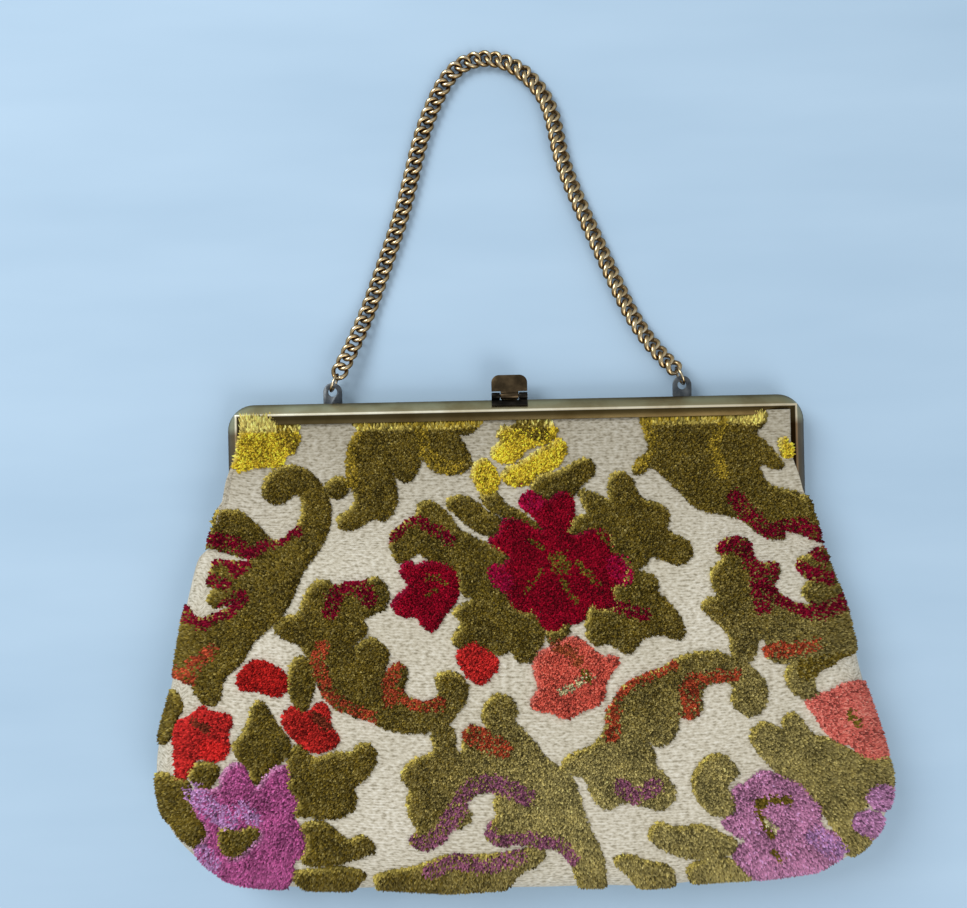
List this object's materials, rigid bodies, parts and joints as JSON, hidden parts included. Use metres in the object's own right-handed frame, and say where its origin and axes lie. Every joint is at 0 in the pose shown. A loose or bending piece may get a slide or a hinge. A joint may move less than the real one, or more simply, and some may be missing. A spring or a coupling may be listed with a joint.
{
  "type": "carpet bag",
  "caption": "Small frame handbag of cream ribbed cloth with raised chenille flowers and scroll leaves, hinged metal frame, lift clasp and curb chain handle.",
  "frame": {"origin": "on the flat underside of the back cloth, at the middle of the bag's width and height", "axes": "+X across the bag, +Y from the bottom edge towards the handle, +Z out of the front face"},
  "size_m": [0.2794, 0.3203, 0.0345],
  "materials": {
    "antique_gold": "worn antique gold plate",
    "dark_metal": "blackened plate",
    "dark_gold": "dark antique gold",
    "lug_steel": "dull grey steel",
    "chain_gold": "antique gold with dark hollows",
    "cream_cloth": "ribbed cotton ground",
    "lining_cloth": "plain satin lining",
    "olive_chenille": "cut chenille pile",
    "crimson_chenille": "cut chenille pile",
    "coral_chenille": "cut chenille pile",
    "yellow_chenille": "cut chenille pile",
    "lilac_chenille": "cut chenille pile"
  },
  "bodies": {
    "bag": {"rear_frame": "antique_gold", "hinge_rivets": "antique_gold", "clasp_keeper": "antique_gold", "left_lug": "lug_steel", "right_lug": "lug_steel", "front_panel": "cream_cloth", "back_panel": "cream_cloth", "front_lining": "lining_cloth", "back_lining": "lining_cloth", "olive_pile": "olive_chenille", "crimson_pile": "crimson_chenille", "coral_pile": "coral_chenille", "yellow_pile": "yellow_chenille", "lilac_pile": "lilac_chenille"},
    "front_half": {"front_frame": "antique_gold", "clasp_plate": "dark_metal", "clasp_pin": "dark_metal"},
    "clasp": {"clasp_lever": "dark_gold"},
    "handle": {"chain_rings": "chain_gold", "chain_links": "chain_gold"}
  },
  "joints": [
    {"name": "frame_open", "type": "hinge", "parent": "bag", "child": "front_half", "pos_m": [0, 0.0525, 0.0074], "axis": [1, 0, 0], "range_deg": [0, 70], "deforming": ["front_panel", "front_lining", "olive_pile", "crimson_pile", "coral_pile", "yellow_pile", "lilac_pile"]},
    {"name": "clasp_lift", "type": "hinge", "parent": "front_half", "child": "clasp", "pos_m": [-0.0022, 0.094, 0.0097], "axis": [1, 0, 0], "range_deg": [0, 50]},
    {"name": "handle_swing", "type": "hinge", "parent": "bag", "child": "handle", "pos_m": [0, 0.10053, 0.00585], "axis": [1, 0, 0], "range_deg": [0, 90]}
  ]
}
